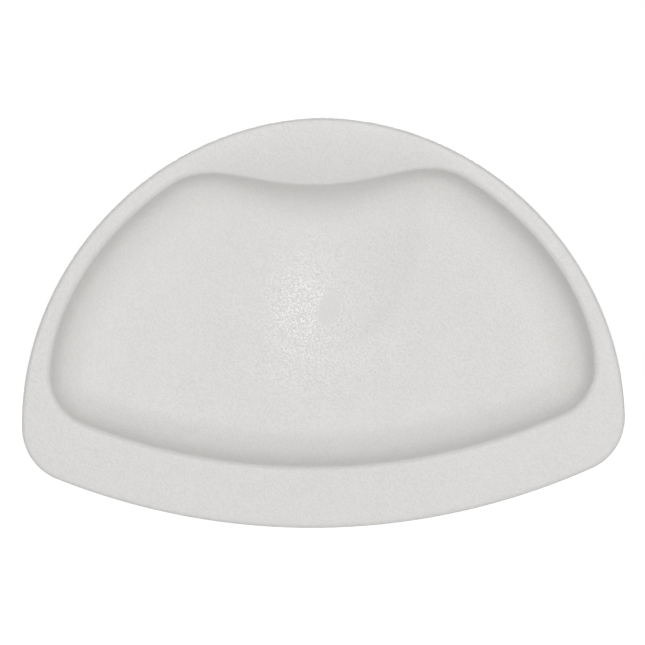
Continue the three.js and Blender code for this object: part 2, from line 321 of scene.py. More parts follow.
class Bench:
    """Short calls for modelling with Blender's operators, one object at a time."""

    @staticmethod
    def clear_selection() -> None:
        """Leaves object mode and deselects everything."""
        if bpy.context.mode != "OBJECT":
            bpy.ops.object.mode_set(mode="OBJECT")
        bpy.ops.object.select_all(action="DESELECT")

    @staticmethod
    def pick(piece: bpy.types.Object) -> None:
        """Makes one object the only selected one.

        Args:
            piece: The object.
        """
        Bench.clear_selection()
        piece.select_set(True)
        bpy.context.view_layer.objects.active = piece

    @staticmethod
    def new_piece(name: str, points: np.ndarray, faces: np.ndarray) -> bpy.types.Object:
        """Makes an object from points and faces.

        Args:
            name: Name of the piece and of its mesh.
            points: Points in the part's frame, of shape (n, 3).
            faces: Indices of the corners of each face.

        Returns:
            The new object, smooth shaded.
        """
        mesh = bpy.data.meshes.new(name)
        mesh.from_pydata(points.tolist(), [], faces.tolist())
        piece = bpy.data.objects.new(name, mesh)
        bpy.context.scene.collection.objects.link(piece)
        Bench.shade(piece)
        return piece

    @staticmethod
    def shade(piece: bpy.types.Object) -> None:
        """Shades a piece smooth, apart from its sharp edges."""
        Bench.pick(piece)
        bpy.ops.object.shade_smooth_by_angle(angle=SMOOTH_ANGLE)

    @staticmethod
    def round_corners(corners: Corners, steps: int = 5) -> Profile:
        """Rounds the corners of a profile.

        Args:
            corners: Distance from the axis, height and rounding of each corner.
            steps: Steps of each rounding.

        Returns:
            The distance from the axis and the height of each point.
        """
        points = [np.array(corner[:2]) for corner in corners]
        profile: Profile = [tuple(points[0])]
        for before, here, after, (*_, rounding) in zip(points, points[1:], points[2:], corners[1:]):
            if rounding == 0:
                profile.append(tuple(here))
                continue
            start = here + (before - here) * rounding / np.linalg.norm(before - here)
            end = here + (after - here) * rounding / np.linalg.norm(after - here)
            for share in np.linspace(0, 1, steps + 1):
                profile.append(tuple(lerp(lerp(start, here, share), lerp(here, end, share), share)))
        profile.append(tuple(points[-1]))
        return profile

    @staticmethod
    def turn(name: str, profile: Profile, segments: int) -> bpy.types.Object:
        """Turns a profile about the Y axis by extruding one vertex and spinning the line.

        Args:
            name: Name of the piece.
            profile: Distance from the axis and height of each point; heights run towards -Y.
            segments: Segments of the full turn.

        Returns:
            The turned object, closed and facing outwards.
        """
        Bench.clear_selection()
        bpy.ops.mesh.primitive_plane_add(size=1.0, location=(0, 0, 0))
        piece = bpy.context.object
        piece.name = name
        piece.data.name = name
        line = [Vector((distance, -height, 0)) for distance, height in profile]
        bpy.ops.object.mode_set(mode="EDIT")
        bpy.ops.mesh.select_all(action="SELECT")
        bpy.ops.mesh.merge(type="CENTER")
        bpy.ops.transform.translate(value=line[0])
        for start, end in zip(line, line[1:]):
            bpy.ops.mesh.extrude_region_move(TRANSFORM_OT_translate={"value": end - start})
        bpy.ops.mesh.select_all(action="SELECT")
        bpy.ops.mesh.spin(steps=segments, angle=FULL_TURN, center=(0, 0, 0), axis=(0, 1, 0))
        bpy.ops.mesh.select_all(action="SELECT")
        bpy.ops.mesh.remove_doubles(threshold=MERGE_DISTANCE)
        bpy.ops.mesh.normals_make_consistent(inside=False)
        bpy.ops.object.mode_set(mode="OBJECT")
        Bench.shade(piece)
        return piece

    @staticmethod
    def copy_to(pattern: bpy.types.Object, name: str, place: Vector) -> bpy.types.Object:
        """Copies a piece with a mesh of its own, its place in the mesh.

        Args:
            pattern: The piece to copy.
            name: Name of the copy and of its mesh.
            place: How far the copy is moved.

        Returns:
            The copy.
        """
        piece = pattern.copy()
        piece.name = name
        piece.data = pattern.data.copy()
        piece.data.name = name
        piece.data.transform(Matrix.Translation(place))
        bpy.context.scene.collection.objects.link(piece)
        return piece

    @staticmethod
    def combine(piece: bpy.types.Object, tools: list[bpy.types.Object], operation: str) -> None:
        """Joins tools into one and adds them to a piece, or cuts them out of it.

        Args:
            piece: The piece that stays.
            tools: Closed objects that don't touch each other; they are used up.
            operation: UNION or DIFFERENCE.
        """
        Bench.pick(tools[0])
        for tool in tools[1:]:
            tool.select_set(True)
        if len(tools) > 1:
            bpy.ops.object.join()
        Bench.pick(piece)
        cut = piece.modifiers.new("combine", "BOOLEAN")
        cut.operation = operation
        cut.solver = "EXACT"
        cut.object = tools[0]
        bpy.ops.object.modifier_apply(modifier=cut.name)
        Bench.drop(tools[0])
        Bench.shade(piece)

    @staticmethod
    def drop(piece: bpy.types.Object) -> None:
        """Deletes an object with its mesh.

        Args:
            piece: The object.
        """
        mesh = piece.data
        bpy.data.objects.remove(piece)
        bpy.data.meshes.remove(mesh)


class NodeBoard:
    """A node tree with short calls for adding and joining its nodes."""

    def __init__(self, tree: bpy.types.NodeTree) -> None:
        """Takes the tree to work on."""
        self.tree = tree

    @classmethod
    def for_material(cls, name: str) -> tuple["NodeBoard", bpy.types.Material, bpy.types.Node]:
        """Starts a material.

        Args:
            name: Name of the material.

        Returns:
            The board, the material and its surface shader.
        """
        material = bpy.data.materials.new(name)
        material.use_nodes = True
        return cls(material.node_tree), material, material.node_tree.nodes["Principled BSDF"]

    def add(self, kind: str, options: dict | None = None, inputs: dict | None = None) -> bpy.types.Node:
        """Adds a node.

        Args:
            kind: Blender's name of the node type.
            options: Properties of the node.
            inputs: Values of its inputs, or sockets to join to them, by name or number.

        Returns:
            The node.
        """
        node = self.tree.nodes.new(kind)
        for key, value in (options or {}).items():
            setattr(node, key, value)
        for key, value in (inputs or {}).items():
            self.feed(node.inputs[key], value)
        return node

    def feed(self, socket: bpy.types.NodeSocket, value: object) -> None:
        """Joins a socket to an input, or sets the input to a value.

        Args:
            socket: The input.
            value: The socket or the value.
        """
        if isinstance(value, bpy.types.NodeSocket):
            self.tree.links.new(value, socket)
        else:
            socket.default_value = value

    def math(self, operation: str, *values: object) -> bpy.types.NodeSocket:
        """Works out one number from others and gives its socket."""
        node = self.add("ShaderNodeMath", {"operation": operation}, dict(enumerate(values)))
        return node.outputs[0]

    def vector(self, operation: str, *values: object) -> bpy.types.NodeSocket:
        """Works out one vector from others and gives its socket."""
        node = self.add("ShaderNodeVectorMath", {"operation": operation}, dict(enumerate(values)))
        return node.outputs["Vector"]

    def length(self, vector: object) -> bpy.types.NodeSocket:
        """Gives the length of a vector."""
        return self.add("ShaderNodeVectorMath", {"operation": "LENGTH"}, {0: vector}).outputs["Value"]

    def spread(
        self, value: object, low: float, high: float, start: object, end: object
    ) -> bpy.types.NodeSocket:
        """Maps low to start and high to end, smoothly and without going past them.

        Args:
            value: The number to map.
            low: Number that becomes start.
            high: Number that becomes end.
            start: What low becomes.
            end: What high becomes.

        Returns:
            The socket of the mapped number.
        """
        inputs = {"Value": value, "From Min": low, "From Max": high, "To Min": start, "To Max": end}
        node = self.add("ShaderNodeMapRange", {"interpolation_type": "SMOOTHSTEP"}, inputs)
        return node.outputs["Result"]

    def vary(self, noise: object, start: object, end: object) -> bpy.types.NodeSocket:
        """Maps the usual range of a noise texture to the range from start to end."""
        return self.spread(noise, NOISE_LOW, NOISE_HIGH, start, end)

    def blend(self, share: object, first: object, second: object) -> bpy.types.NodeSocket:
        """Blends two colours by a share and gives the colour's socket."""
        inputs = {0: share, MIX_FIRST: first, MIX_SECOND: second}
        return self.add("ShaderNodeMix", {"data_type": "RGBA"}, inputs).outputs[MIX_RESULT]

    def noise(self, vector: object, scale: object, detail: float) -> bpy.types.Node:
        """Adds a noise texture."""
        return self.add("ShaderNodeTexNoise", {}, {"Vector": vector, "Scale": scale, "Detail": detail})

    def object_point(self) -> bpy.types.NodeSocket:
        """Gives the point being shaded, in the piece's own frame."""
        return self.add("ShaderNodeTexCoord").outputs["Object"]

    def bump(self, height: object, strength: float, depth: float) -> bpy.types.NodeSocket:
        """Gives the normal of a surface roughened by a height."""
        inputs = {"Height": height, "Strength": strength, "Distance": depth}
        return self.add("ShaderNodeBump", {}, inputs).outputs["Normal"]

    def use(self, group: bpy.types.NodeTree, inputs: dict) -> bpy.types.Node:
        """Places a node group with its own values."""
        return self.add("ShaderNodeGroup", {"node_tree": group}, inputs)

    def seen_directly(self) -> bpy.types.NodeSocket:
        """Tells the rays of the camera, of reflections and through clear pieces from the rest.

        Returns:
            A socket that is 1 for those rays and 0 for the others.
        """
        path = self.add("ShaderNodeLightPath").outputs
        seen = self.math("MAXIMUM", path["Is Camera Ray"], path["Is Glossy Ray"])
        return self.math("MAXIMUM", seen, path["Is Transmission Ray"])


@dataclass(frozen=True)
class GroupPlan:
    """Name and sockets of a shader node group."""

    name: str
    inputs: dict[str, str]
    outputs: dict[str, str]

    def start(self) -> tuple[NodeBoard, bpy.types.Node, bpy.types.Node]:
        """Starts the group.

        Returns:
            Its board, its input node and its output node.
        """
        tree = bpy.data.node_groups.new(self.name, "ShaderNodeTree")
        for label, kind in self.inputs.items():
            tree.interface.new_socket(label, in_out="INPUT", socket_type=kind)
        for label, kind in self.outputs.items():
            tree.interface.new_socket(label, in_out="OUTPUT", socket_type=kind)
        board = NodeBoard(tree)
        return board, board.add("NodeGroupInput"), board.add("NodeGroupOutput")


@dataclass
class Effects:
    """Shader node groups that several finishes share.

    The scales of the wander, the fine noise and the haze are shares of the cells or teeth per
    metre. The wander reaches a share of one cell, and the mottle has its own scale per metre.
    """

    wander_scale: float = 0.4
    wander_reach: float = 0.9
    pebble_softness: float = 0.25
    fine_scale: float = 2.2
    fine_share: float = 0.12
    mottle_scale: float = 42.0
    haze_scale: float = 0.06

    def __post_init__(self) -> None:
        """Builds each group once."""
        self.grain = self._moulded_grain()
        self.speckle = self._mould_speckle()

    def _moulded_grain(self) -> bpy.types.NodeTree:
        """Builds the leather-like grain of a moulded skin: soft pads between fine creases.

        Returns:
            A group that gives the grain's height, about 0.5 to 1, and a slow mottle, from 0 to 1.
        """
        plan = GroupPlan(
            "moulded_grain",
            {"Vector": "NodeSocketVector", "Cells": "NodeSocketFloat"},
            {"Height": "NodeSocketFloat", "Mottle": "NodeSocketFloat"},
        )
        board, start, end = plan.start()
        point, cells = start.outputs["Vector"], start.outputs["Cells"]
        wander = board.noise(point, board.math("MULTIPLY", cells, self.wander_scale), detail=1.0)
        centred = board.vector("SUBTRACT", wander.outputs["Color"], (NOISE_MIDDLE,) * 3)
        drift = board.vector("MULTIPLY", centred, board.math("DIVIDE", self.wander_reach, cells))
        pebbles = board.add("ShaderNodeTexVoronoi", {"feature": "SMOOTH_F1"}, {
            "Vector": board.vector("ADD", point, drift),
            "Scale": cells,
            "Smoothness": self.pebble_softness,
        })
        away = pebbles.outputs["Distance"]
        domes = board.math("SUBTRACT", 1.0, board.math("MULTIPLY", away, away))
        fine = board.noise(point, board.math("MULTIPLY", cells, self.fine_scale), detail=1.0)
        height = board.math("MULTIPLY_ADD", fine.outputs[0], self.fine_share, domes)
        mottle = board.noise(point, self.mottle_scale, detail=3.0)
        board.feed(end.inputs["Height"], height)
        board.feed(end.inputs["Mottle"], mottle.outputs[0])
        return board.tree

    def _mould_speckle(self) -> bpy.types.NodeTree:
        """Builds the fine even tooth that a blasted mould leaves on plastic.

        Returns:
            A group that gives the tooth's height and a slow haze, both from 0 to 1.
        """
        plan = GroupPlan(
            "mould_speckle",
            {"Vector": "NodeSocketVector", "Tooth": "NodeSocketFloat"},
            {"Height": "NodeSocketFloat", "Haze": "NodeSocketFloat"},
        )
        board, start, end = plan.start()
        point, teeth = start.outputs["Vector"], start.outputs["Tooth"]
        tooth = board.noise(point, teeth, detail=2.0)
        haze = board.noise(point, board.math("MULTIPLY", teeth, self.haze_scale), detail=2.0)
        board.feed(end.inputs["Height"], tooth.outputs[0])
        board.feed(end.inputs["Haze"], haze.outputs[0])
        return board.tree


@dataclass(frozen=True)
class SoftOval:
    """Oval of the face with a soft edge: its middle, half sizes and lean to the right."""

    across: float
    up: float
    half_width: float
    half_height: float
    lean: float = 0.0
    fade_start: float = 0.6
    fade_end: float = 1.3

    def inside(self, board: NodeBoard, point: object) -> bpy.types.NodeSocket:
        """Finds how far inside the oval a point is.

        Args:
            board: The material's board.
            point: The point being shaded.

        Returns:
            A share of 1 in the middle that fades to 0 round the edge.
        """
        place = board.add("ShaderNodeMapping", {"vector_type": "TEXTURE"}, {
            "Vector": point,
            "Location": (self.across, 0.0, self.up),
            "Rotation": (0.0, self.lean, 0.0),
            "Scale": (self.half_width, 1.0, self.half_height),
        })
        return board.spread(board.length(place.outputs[0]), self.fade_start, self.fade_end, 1.0, 0.0)


@dataclass(frozen=True)
class GrainedSkin:
    """Moulded soft skin with a fine leather-like grain, whose creases are painted darker as shade.

    The grain is even inside the spot, and its pads are glossier inside the polished oval. The
    wear makes patches of the skin a little rougher or smoother.
    """

    name: str
    pad: Colour
    # Darker colour painted into the grain's creases as shade.
    shaded_crease: Colour
    cells: float
    depth: float
    pad_roughness: float
    crease_roughness: float
    mottle: float
    crease_level: float = 0.6
    wear: float = 0.03
    wear_low: float = 0.35
    wear_high: float = 0.65
    spot: SoftOval | None = None
    spot_level: float = 0.6
    polish: SoftOval | None = None
    polished_roughness: float = 0.2

    def material(self, effects: Effects) -> bpy.types.Material:
        """Makes the material.

        Args:
            effects: The shared node groups.

        Returns:
            The material.
        """
        board, material, shader = NodeBoard.for_material(self.name)
        point = board.object_point()
        grain = board.use(effects.grain, {"Vector": point, "Cells": self.cells})
        height, mottle = grain.outputs["Height"], grain.outputs["Mottle"]
        if self.spot:
            change = board.math("SUBTRACT", self.spot_level, height)
            height = board.math("MULTIPLY_ADD", self.spot.inside(board, point), change, height)
        gloss = self.pad_roughness
        if self.polish:
            polished = self.polish.inside(board, point)
            gloss = board.spread(polished, 0.0, 1.0, gloss, self.polished_roughness)
        pads = board.spread(height, self.crease_level, 1.0, 0.0, 1.0)
        pale = board.math("MULTIPLY", pads, board.vary(mottle, 1.0 - self.mottle, 1.0))
        wear = board.spread(mottle, self.wear_low, self.wear_high, -self.wear, self.wear)
        rough = board.spread(pads, 0.0, 1.0, self.crease_roughness, gloss)
        # The grain's creases take the darker colour: painted shade in the creases. Inside the spot the
        # height sits at the crease level, so the spot takes that painted shade too.
        board.feed(shader.inputs["Base Color"], board.blend(pale, self.shaded_crease, self.pad))
        board.feed(shader.inputs["Roughness"], board.math("ADD", rough, wear))
        board.feed(shader.inputs["Normal"], board.bump(height, 1.0, self.depth))
        return material


@dataclass(frozen=True)
class OpenFoam:
    """Cut soft foam: small open cells with pale walls, and pits painted darker as shade."""

    name: str
    wall: Colour
    # Darker colour painted into the cells' pits as shade.
    shaded_pit: Colour
    cells: float
    depth: float
    roughness: float
    pit_edge: float = 0.15
    wall_edge: float = 0.6
    haze: float = 0.05
    strength: float = 0.8

    def material(self, effects: Effects) -> bpy.types.Material:
        """Makes the material.

        Args:
            effects: The shared node groups.

        Returns:
            The material.
        """
        board, material, shader = NodeBoard.for_material(self.name)
        point = board.object_point()
        cells = board.add("ShaderNodeTexVoronoi", {"feature": "F1"}, {"Vector": point, "Scale": self.cells})
        wall = board.spread(cells.outputs["Distance"], self.pit_edge, self.wall_edge, 0.0, 1.0)
        speckle = board.use(effects.speckle, {"Vector": point, "Tooth": self.cells})
        rough = board.vary(speckle.outputs["Haze"], self.roughness - self.haze, self.roughness)
        # The pits of the cells take the darker colour: painted shade in the hollows.
        board.feed(shader.inputs["Base Color"], board.blend(wall, self.shaded_pit, self.wall))
        board.feed(shader.inputs["Roughness"], rough)
        board.feed(shader.inputs["Normal"], board.bump(wall, self.strength, self.depth))
        return material


@dataclass(frozen=True)
class HardPlastic:
    """Moulded hard plastic with a fine tooth."""

    name: str
    colour: Colour
    shade: Colour
    tooth: float
    depth: float
    roughness: float
    haze: float = 0.06
    strength: float = 0.5

    def material(self, effects: Effects) -> bpy.types.Material:
        """Makes the material.

        Args:
            effects: The shared node groups.

        Returns:
            The material.
        """
        board, material, shader = NodeBoard.for_material(self.name)
        speckle = board.use(effects.speckle, {"Vector": board.object_point(), "Tooth": self.tooth})
        haze = speckle.outputs["Haze"]
        rough = board.vary(haze, self.roughness - self.haze, self.roughness + self.haze)
        board.feed(shader.inputs["Base Color"], board.blend(haze, self.shade, self.colour))
        board.feed(shader.inputs["Roughness"], rough)
        tooth = board.bump(speckle.outputs["Height"], self.strength, self.depth)
        board.feed(shader.inputs["Normal"], tooth)
        return material


@dataclass(frozen=True)
class ClearVinyl:
    """Clear soft vinyl, faintly cloudy where it was moulded."""

    name: str
    clear: Colour
    cloudy: Colour
    transmission: float
    refraction: float
    tooth: float
    depth: float
    roughness: float
    haze: float = 0.1
    strength: float = 0.3

    def material(self, effects: Effects) -> bpy.types.Material:
        """Makes the material.

        Args:
            effects: The shared node groups.

        Returns:
            The material.
        """
        board, material, shader = NodeBoard.for_material(self.name)
        speckle = board.use(effects.speckle, {"Vector": board.object_point(), "Tooth": self.tooth})
        haze = speckle.outputs["Haze"]
        shader.inputs["Transmission Weight"].default_value = self.transmission
        shader.inputs["IOR"].default_value = self.refraction
        rough = board.vary(haze, self.roughness, self.roughness + self.haze)
        board.feed(shader.inputs["Base Color"], board.blend(haze, self.clear, self.cloudy))
        board.feed(shader.inputs["Roughness"], rough)
        tooth = board.bump(speckle.outputs["Height"], self.strength, self.depth)
        board.feed(shader.inputs["Normal"], tooth)
        return material


@dataclass
class SkinRows:
    """Rows of a skin that lies a given way inside the face."""

    inside: float
    rows: list[np.ndarray] = field(default_factory=list)

    def lay(self, points: np.ndarray, lean: np.ndarray, angle: Numbers) -> None:
        """Adds a row, moved in along its normals.

        Args:
            points: The row on the outer surface, of shape (n, 3).
            lean: The way that each normal leans, of shape (n, 2).
            angle: How far the normals lean from straight out.
        """
        tilt = np.broadcast_to(angle, len(points))
        normal = np.column_stack([lean * np.sin(tilt)[:, None], np.cos(tilt)])
        self.rows.append(points - normal * self.inside)


@dataclass
class MouldedPillow:
    """Face, foam and back of the pillow, all drawn over one half-moon outline.

    The wall of the dish falls from the lip by the sum of a steep curve and a longer tail.
    """

    width: float
    height: float
    depth: float
    back_plane: float
    belly_level: float
    belly_radius: float = 0.3755
    corner_radius: float = 0.031
    dome_fullness: float = 1.94
    side_draft: float = 0.0006
    edge_radius: float = 0.0022
    back_radius: float = 0.004
    rim_side: float = 0.0169
    rim_top: float = 0.0083
    rim_below: float = 0.0345
    lip_corner_radius: float = 0.028
    lip_fullness: float = 1.76
    lip_radius: float = 0.0033
    brow_drop: float = 0.0289
    brow_half_width: float = 0.081
    brow_fall: float = 0.007
    dish_depth: float = 0.0235
    wall_run: float = 0.0265
    wall_slope: float = math.radians(77)
    brow_wall_slope: float = math.radians(64)
    tail_share: float = 0.6
    tail_power: float = 3.0
    wall_crowding: float = 1.4
    bowl_rise: float = 0.0023
    bowl_half_width: float = 0.12
    bowl_half_height: float = 0.06
    cradle_depth: float = 0.005
    cradle_half_width: float = 0.056
    cradle_straight: float = 0.016
    cradle_length: float = 0.078
    cradle_soft: float = 0.08
    skin: float = 0.0015
    clearance: float = 0.0003
    parting_round: float = 0.0005
    block_share: float = 0.45
    outline_steps: OutlineSteps = field(default_factory=OutlineSteps)

    @classmethod
    def from_frame(cls) -> "MouldedPillow":
        """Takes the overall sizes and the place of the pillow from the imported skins.

        Returns:
            The pillow.
        """
        face_low, face_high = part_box("front_skin")
        _, back_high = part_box("back_skin")
        return cls(
            width=face_high.x - face_low.x,
            height=face_high.z - face_low.z,
            depth=back_high.y - face_low.y,
            back_plane=back_high.y,
            belly_level=face_low.z,
        )

    def __post_init__(self) -> None:
        """Draws the outline of the pillow and the lip of its dish."""
        outline = HalfMoon(
            reach=self.width / 2,
            bottom=0.0,
            crown=self.height,
            belly_radius=self.belly_radius,
            corner_radius=self.corner_radius,
            fullness=self.dome_fullness,
        )
        lip_line = HalfMoon(
            reach=self.width / 2 - self.rim_side,
            bottom=self.rim_below,
            crown=self.height - self.rim_top,
            belly_radius=self.belly_radius,
            corner_radius=self.lip_corner_radius,
            fullness=self.lip_fullness,
            dip=self.brow_drop,
            dip_half_width=self.brow_half_width,
        )
        self._edge = outline.stations(self.outline_steps)
        self._lip = lip_line.stations(self.outline_steps)
        self._brow_height = lip_line.crown - self.brow_drop
        self._middle = np.array([0.0, (self.rim_below + self._brow_height) / 2])
        self._foot = self._lip.step_in(self.wall_run, 0.0)[:, :2]
        upper = self._lip.points[:, 1] > self._middle[1]
        self._slope_lip(np.where(upper, lip_line.dip_share(self._lip.points[:, 0]), 0.0))

    def _slope_lip(self, brow: np.ndarray) -> None:
        """Finds the slopes of the rim and of the wall where they meet at the lip.

        Args:
            brow: Share of the brow at each station, 1 in its middle.
        """
        self._fall = self.brow_fall * brow
        self._rim_start = self._edge.step_in(self.side_draft + self.edge_radius, self.depth)
        rim_width = np.linalg.norm(self._rim_start[:, :2] - self._lip.points, axis=1)
        self._rim_angle = np.arctan2(2 * self._fall, rim_width)
        self._wall_angle = lerp(self.wall_slope, self.brow_wall_slope, brow)
        self._lip_run = self.lip_radius * (np.sin(self._wall_angle) - np.sin(self._rim_angle))
        self._lip_top = self.depth - self._fall + self.lip_radius * (1 - np.cos(self._rim_angle))

    def to_part(self, points: np.ndarray) -> np.ndarray:
        """Carries sheet points of shape (n, 3) into the part's frame."""
        x, y, height = points.T
        return np.column_stack([x, self.back_plane - height, self.belly_level + y])

    def _floor_height(self, plan: np.ndarray) -> np.ndarray:
        """Gives the height of the dish floor, a shallow bowl with a cradle under the brow.

        Args:
            plan: Points across and up, of shape (n, 2).

        Returns:
            One height for each point.
        """
        across, up = (plan - self._middle).T
        bowl = (across / self.bowl_half_width) ** 2 + (up / self.bowl_half_height) ** 2
        below = np.maximum(self._brow_height - self.cradle_straight - plan[:, 1], 0)
        inside = 1 - (plan[:, 0] / self.cradle_half_width) ** 2 - (below / self.cradle_length) ** 2
        cradle = self.cradle_depth * soft_positive(inside, self.cradle_soft)
        return self.depth - self.dish_depth + self.bowl_rise * bowl - cradle

    def _lay_dish(self, skin: SkinRows, steps: FaceSteps) -> None:
        """Lays the floor of the dish and its wall up to the lip.

        Args:
            skin: The skin to add to.
            steps: Rows of each stretch of the section.
        """
        inward = self._lip.inward
        for share in np.linspace(self.block_share, 1, steps.floor, endpoint=False):
            plan = lerp(self._middle, self._foot, share)
            skin.lay(np.column_stack([plan, self._floor_height(plan)]), inward, 0.0)
        lip_height = self._lip_top - self.lip_radius * (1 - np.cos(self._wall_angle))
        wall_fall = lip_height - self._floor_height(self._lip.points)
        start_slope = self.wall_run * np.tan(self._wall_angle) / wall_fall
        sharpness = (start_slope - self.tail_share * self.tail_power) / (1 - self.tail_share)
        for step in np.linspace(1, 0, steps.wall):
            share = step**self.wall_crowding
            tail = self.tail_share * (1 - share) ** self.tail_power
            steep = (1 - self.tail_share) * (1 - share) ** sharpness
            wall = self._lip.step_in(self.wall_run * share, 0.0)
            wall[:, 2] = self._floor_height(wall[:, :2]) + wall_fall * (tail + steep)
            slope = (tail * self.tail_power + steep * sharpness) / max(1 - share, MERGE_DISTANCE)
            skin.lay(wall, inward, np.arctan(slope * wall_fall / self.wall_run))

    def _lay_rim(self, skin: SkinRows, steps: FaceSteps) -> None:
        """Lays the round lip of the dish and the rim, which rolls down to the brow.

        Args:
            skin: The skin to add to.
            steps: Rows of each stretch of the section.
        """
        lip, inward = self._lip, self._lip.inward
        for share in np.linspace(1, 0, steps.lip + 1)[1:]:
            angle = lerp(self._rim_angle, self._wall_angle, share)
            way = self.lip_radius * (np.sin(angle) - np.sin(self._rim_angle)) - self._lip_run
            height = self._lip_top - self.lip_radius * (1 - np.cos(angle))
            skin.lay(lip.step_in(way, height), inward, angle)
        lip_start = lip.step_in(-self._lip_run, self.depth)
        for share in np.linspace(1, 0, steps.rim + 1)[1:]:
            rim = lerp(self._rim_start, lip_start, share)
            rim[:, 2] = self.depth - self._fall * share**2
            skin.lay(rim, inward, self._rim_angle * share)

    def _lay_side(self, skin: SkinRows, steps: FaceSteps) -> None:
        """Lays the round outer edge and the side, down to the parting line.

        Args:
            skin: The skin to add to.
            steps: Rows of each stretch of the section.
        """
        edge, outward = self._edge, -self._edge.inward
        for angle in np.linspace(0, QUARTER_TURN, steps.edge + 1)[1:]:
            way = self.side_draft + self.edge_radius * (1 - math.sin(angle))
            height = self.depth - self.edge_radius * (1 - math.cos(angle))
            skin.lay(edge.step_in(way, height), outward, angle)
        side_top = self.depth - self.edge_radius
        parting = self.back_radius + self.clearance / 2
        for share in np.linspace(0, 1, steps.side + 1)[1:]:
            height = lerp(side_top, parting + self.parting_round, share)
            skin.lay(edge.step_in(lerp(self.side_draft, 0.0, share), height), outward, QUARTER_TURN)
        for turn in np.linspace(0, QUARTER_TURN, steps.parting + 1)[1:]:
            inset = self.parting_round * (1 - math.cos(turn)) if skin.inside == 0 else 0.0
            height = parting + self.parting_round * (1 - math.sin(turn))
            skin.lay(edge.step_in(inset, height), outward, QUARTER_TURN)

    def _face_cap(self, steps: FaceSteps, inside: float) -> Cap:
        """Lays the face, or a skin a given way inside it.

        Args:
            steps: Rows of each stretch of the section.
            inside: Distance from the outer surface.

        Returns:
            The cap, from the floor of the dish out over the rim to the parting line.
        """
        skin = SkinRows(inside)
        self._lay_dish(skin, steps)
        self._lay_rim(skin, steps)
        self._lay_side(skin, steps)
        plan = Cap.fill_block(lerp(self._middle, self._foot, self.block_share))
        heights = self._floor_height(plan) - inside
        return Cap(skin.rows, np.column_stack([plan, heights]))

    def _flat_cap(
        self, corner: float, radius: float, level: float, end: list[np.ndarray], steps: int
    ) -> Cap:
        """Lays a flat back or floor with a round edge.

        Args:
            corner: Inset from the outline at which the round edge ends.
            radius: Radius of the round edge.
            level: Height of the flat part.
            end: Rows that follow the round edge.
            steps: Steps of the flat part and of the round edge.

        Returns:
            The cap, from its middle out to its last row.
        """
        edge = self._edge
        flat = edge.step_in(corner + radius, level)
        middle = np.append(self._middle, level)
        rows = [lerp(middle, flat, share) for share in np.linspace(self.block_share, 1, steps + 1)]
        for angle in np.linspace(0, QUARTER_TURN, steps + 1)[1:]:
            way = corner + radius * (1 - math.sin(angle))
            rows.append(edge.step_in(way, level + radius * (1 - math.cos(angle))))
        rows.extend(end)
        plan = Cap.fill_block(rows[0][:, :2])
        return Cap(rows, np.column_stack([plan, np.full(len(plan), level)]))

    def _close(self, name: str, front: Cap, back: Cap) -> bpy.types.Object:
        """Joins two caps at their last rows into one closed piece.

        Args:
            name: Name of the piece.
            front: The cap that faces the head.
            back: The cap that faces the wall.

        Returns:
            The piece.
        """
        offset = len(front.points)
        around = front.around
        near = (len(front.rows) - 1) * around + np.arange(around)
        far = offset + (len(back.rows) - 1) * around + np.arange(around)
        band = np.stack([near, far, np.roll(far, -1), np.roll(near, -1)], axis=-1)
        faces = np.vstack([front.faces(), back.faces()[:, ::-1] + offset, band])
        points = self.to_part(np.vstack([front.points, back.points]))
        return Bench.new_piece(name, points, faces)

    def build_face(self) -> bpy.types.Object:
        """Builds the face: a thin skin with the dish, the rim and the sides, open at the back."""
        steps = FaceSteps()
        return self._close("pillow_face", self._face_cap(steps, 0.0), self._face_cap(steps, self.skin))

    def build_foam(self, pockets: list[bpy.types.Object]) -> bpy.types.Object:
        """Builds the foam that fills the skins and cuts the sockets' pockets out of it.

        Args:
            pockets: Cutters of the pockets; they are used up.

        Returns:
            The foam.
        """
        inset = self.skin + self.clearance
        steps = FaceSteps(floor=5, wall=10, lip=5, rim=4, edge=4, side=2, parting=1)
        back = self._flat_cap(inset, self.back_radius - inset, inset, end=[], steps=4)
        foam = self._close("pillow_foam", self._face_cap(steps, inset), back)
        Bench.combine(foam, pockets, "DIFFERENCE")
        return foam

    def build_back(self, holes: list[bpy.types.Object]) -> bpy.types.Object:
        """Builds the back, a shallow tray with a round edge, and cuts the sockets' holes out of it.

        Args:
            holes: Cutters of the holes; they are used up.

        Returns:
            The back.
        """
        top = self.back_radius - self.clearance / 2
        lift = top - self.parting_round
        inner_end = [self._edge.step_in(self.skin, top)]
        outer_end = []
        for turn in np.linspace(0, QUARTER_TURN, FaceSteps().parting + 1)[1:]:
            inset = self.parting_round * (1 - math.cos(turn))
            outer_end.append(self._edge.step_in(inset, lift + self.parting_round * math.sin(turn)))
        inner = self._flat_cap(self.skin, lift - self.skin, self.skin, end=inner_end, steps=6)
        outer = self._flat_cap(0.0, lift, 0.0, end=outer_end, steps=8)
        back = self._close("pillow_back", inner, outer)
        Bench.combine(back, holes, "DIFFERENCE")
        return back

    def dress(
        self, piece: bpy.types.Object, node: str, slot: Slot, fill: float, finish: bpy.types.Material
    ) -> None:
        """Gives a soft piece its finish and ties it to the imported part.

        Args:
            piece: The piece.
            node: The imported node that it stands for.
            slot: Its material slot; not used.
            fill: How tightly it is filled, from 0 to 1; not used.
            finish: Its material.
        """
        piece.data.materials.append(finish)
        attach(piece, "pillow")
        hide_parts(node)


